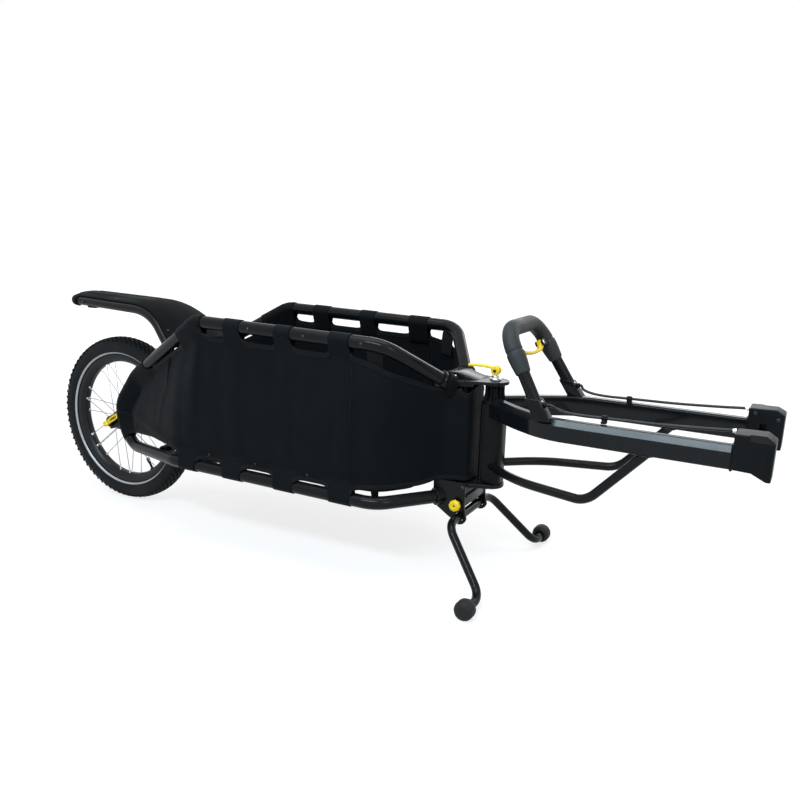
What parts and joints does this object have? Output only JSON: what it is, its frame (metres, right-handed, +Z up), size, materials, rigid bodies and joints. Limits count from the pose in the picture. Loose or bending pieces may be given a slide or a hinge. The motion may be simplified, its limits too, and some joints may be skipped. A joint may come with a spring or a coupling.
{
  "type": "single-wheel bike cargo trailer",
  "caption": "Single-wheel trailer for a bicycle: twin bent side frames with an open cloth bag, a sprung rear wheel under a rack deck, a steering tow fork and a folding stand.",
  "frame": {"origin": "on the ground, under the centre of the whole trailer's box", "axes": "+X forwards to the bicycle, along the trailer; +Y to its left; +Z up from the ground"},
  "size_m": [1.6431, 0.428, 0.5063],
  "materials": {
    "frame_paint": "satin black powder coat",
    "moulding": "fine-textured black moulding",
    "hitch_moulding": "dark glass-filled nylon",
    "soft_rubber": "matt black",
    "tyre": "matt black with a pale reflective band",
    "inner_tube": "matt black",
    "yellow_nylon": "bright yellow moulding",
    "bright_steel": "bright zinc-plated steel",
    "rim_alloy": "black anodised",
    "hub_and_spokes": "grey metal",
    "cable_housing": "black sheath",
    "bag_cloth": "black coated weave"
  },
  "bodies": {
    "frame": {"side_frame_left": "frame_paint", "side_frame_right": "frame_paint", "floor_cross_tube_front": "frame_paint", "floor_cross_tube_rear": "frame_paint", "upper_head_bracket": "frame_paint", "lower_head_bracket": "frame_paint", "rack_hoop": "frame_paint", "rack_deck": "moulding", "spring_seat_left": "frame_paint", "spring_seat_right": "frame_paint", "suspension_spring_left": "bright_steel", "suspension_spring_right": "bright_steel", "pivot_boss_left": "frame_paint", "pivot_boss_right": "frame_paint", "swing_pivot_shaft": "bright_steel", "head_pin": "bright_steel", "cargo_bag": "bag_cloth"},
    "swing_arm": {"swing_arm_left": "frame_paint", "swing_arm_right": "frame_paint", "wheel_axle": "bright_steel", "wheel_skewer": "bright_steel", "skewer_saddle": "bright_steel", "skewer_nut": "bright_steel"},
    "wheel": {"tyre": "tyre", "inner_tube": "inner_tube", "rim": "rim_alloy", "valve_stem": "bright_steel", "laced_hub": "hub_and_spokes", "hub_bearing_left": "bright_steel", "hub_bearing_right": "bright_steel"},
    "wheel_lever": {"wheel_lever": "yellow_nylon"},
    "head_lever": {"head_lever": "yellow_nylon"},
    "tow_fork": {"steering_post": "frame_paint", "head_collar": "moulding", "tow_arm_left": "frame_paint", "tow_arm_right": "frame_paint", "lower_stay_left": "frame_paint", "lower_stay_right": "frame_paint", "hitch_block_left": "hitch_moulding", "hitch_block_right": "hitch_moulding", "handle_tube": "frame_paint", "handle_grip": "soft_rubber", "handle_bracket_left": "frame_paint", "handle_bracket_right": "frame_paint", "trigger_pin": "bright_steel", "trigger_bracket": "moulding", "release_cable_left": "cable_housing", "release_cable_right": "cable_housing", "cable_clip_left": "moulding", "cable_clip_right": "moulding"},
    "latch_left": {"hitch_latch_left": "bright_steel"},
    "latch_right": {"hitch_latch_right": "bright_steel"},
    "trigger": {"release_trigger": "yellow_nylon"},
    "stand": {"stand_legs": "frame_paint", "stand_foot_left": "soft_rubber", "stand_foot_right": "soft_rubber"},
    "stand_release": {"stand_release_button": "yellow_nylon"}
  },
  "joints": [
    {"name": "suspension", "type": "hinge", "parent": "frame", "child": "swing_arm", "pos_m": [-0.39039, 0, 0.17596], "axis": [0, 1, 0], "range_deg": [0, 9], "stiffness_Nm_per_rad": 60, "springref_deg": -20.05, "deforming": ["suspension_spring_left", "suspension_spring_right"]},
    {"name": "wheel_spin", "type": "hinge", "parent": "swing_arm", "child": "wheel", "pos_m": [-0.62177, 0, 0.2], "axis": [0, 1, 0], "continuous": true},
    {"name": "wheel_lever_turn", "type": "hinge", "parent": "swing_arm", "child": "wheel_lever", "pos_m": [-0.62177, -0.0681, 0.2], "axis": [0.5189, 0, -0.8548], "range_deg": [0, 120]},
    {"name": "head_lever_turn", "type": "hinge", "parent": "frame", "child": "head_lever", "pos_m": [0.33772, 0, 0.39906], "axis": [0, 1, 0], "range_deg": [0, 100]},
    {"name": "steering", "type": "hinge", "parent": "frame", "child": "tow_fork", "pos_m": [0.3359, 0, 0.33899], "axis": [0.0304, 0, 0.9995], "range_deg": [-60, 60]},
    {"name": "stand_fold", "type": "hinge", "parent": "frame", "child": "stand", "pos_m": [0.29029, 0, 0.12227], "axis": [0, 1, 0], "range_deg": [0, 110]},
    {"name": "stand_release_press", "type": "slide", "parent": "frame", "child": "stand_release", "axis": [0, 1, 0], "range_m": [0, 0.004], "stiffness_N_per_m": 400, "springref_m": -0.004},
    {"name": "release_trigger_squeeze", "type": "hinge", "parent": "tow_fork", "child": "trigger", "pos_m": [0.40439, 0.046, 0.44796], "axis": [-0.8766, 0, -0.4811], "range_deg": [0, 14], "stiffness_Nm_per_rad": 0.6, "springref_deg": -20.05},
    {"name": "latch_left_slide", "type": "slide", "parent": "tow_fork", "child": "latch_left", "axis": [0.9995, 0, -0.0304], "range_m": [0, 0.0085]},
    {"name": "latch_right_slide", "type": "slide", "parent": "tow_fork", "child": "latch_right", "axis": [0.9995, 0, -0.0304], "range_m": [0, 0.0085]}
  ],
  "couplings": [
    {"joint": "latch_left_slide", "follows": "release_trigger_squeeze", "m_per_rad": 0.034377},
    {"joint": "latch_right_slide", "follows": "release_trigger_squeeze", "m_per_rad": 0.034377}
  ]
}
